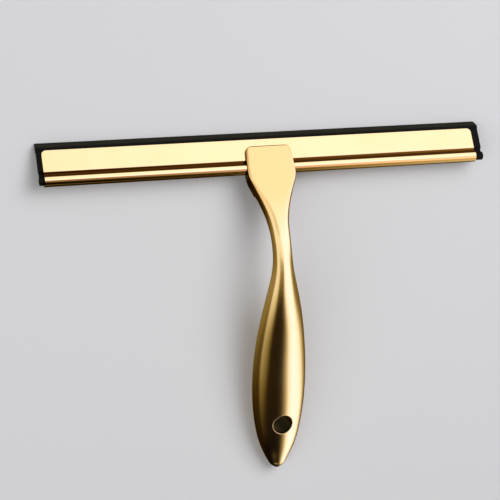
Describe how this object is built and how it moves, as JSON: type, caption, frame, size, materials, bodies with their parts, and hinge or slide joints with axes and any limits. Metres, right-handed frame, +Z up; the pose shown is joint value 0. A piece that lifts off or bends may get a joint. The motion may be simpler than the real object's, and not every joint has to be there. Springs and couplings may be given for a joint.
{
  "type": "window squeegee",
  "caption": "Hand squeegee: folded metal channel with a sliding rubber blade, flat head, thin neck and fat hollow grip with a hanging hole.",
  "frame": {"origin": "on the surface the squeegee lies on, below the middle of its bounding box", "axes": "+X along the blade, +Y from the grip towards the blade's lip, +Z up; the channel's flat face looks up and forward"},
  "size_m": [0.2574, 0.189, 0.0337],
  "materials": {
    "polished_head": "polished gold-coloured stainless steel",
    "satin_grip": "satin gold-coloured stainless steel",
    "channel_sheet": "bright rolled gold-coloured stainless sheet",
    "blade_rubber": "matt black rubber",
    "screw_steel": "bright steel"
  },
  "bodies": {
    "handle": {"head_casting": "polished_head", "grip_front_shell": "satin_grip", "grip_rear_shell": "satin_grip", "hang_tube": "polished_head", "channel": "channel_sheet", "clamp_plate": "polished_head", "clamp_washers": "screw_steel", "clamp_screws": "screw_steel"},
    "blade": {"rubber_blade": "blade_rubber"}
  },
  "joints": [
    {"name": "blade_slide", "type": "slide", "parent": "handle", "child": "blade", "axis": [1, 0, 0], "range_m": [-0.2, 0.2]}
  ]
}
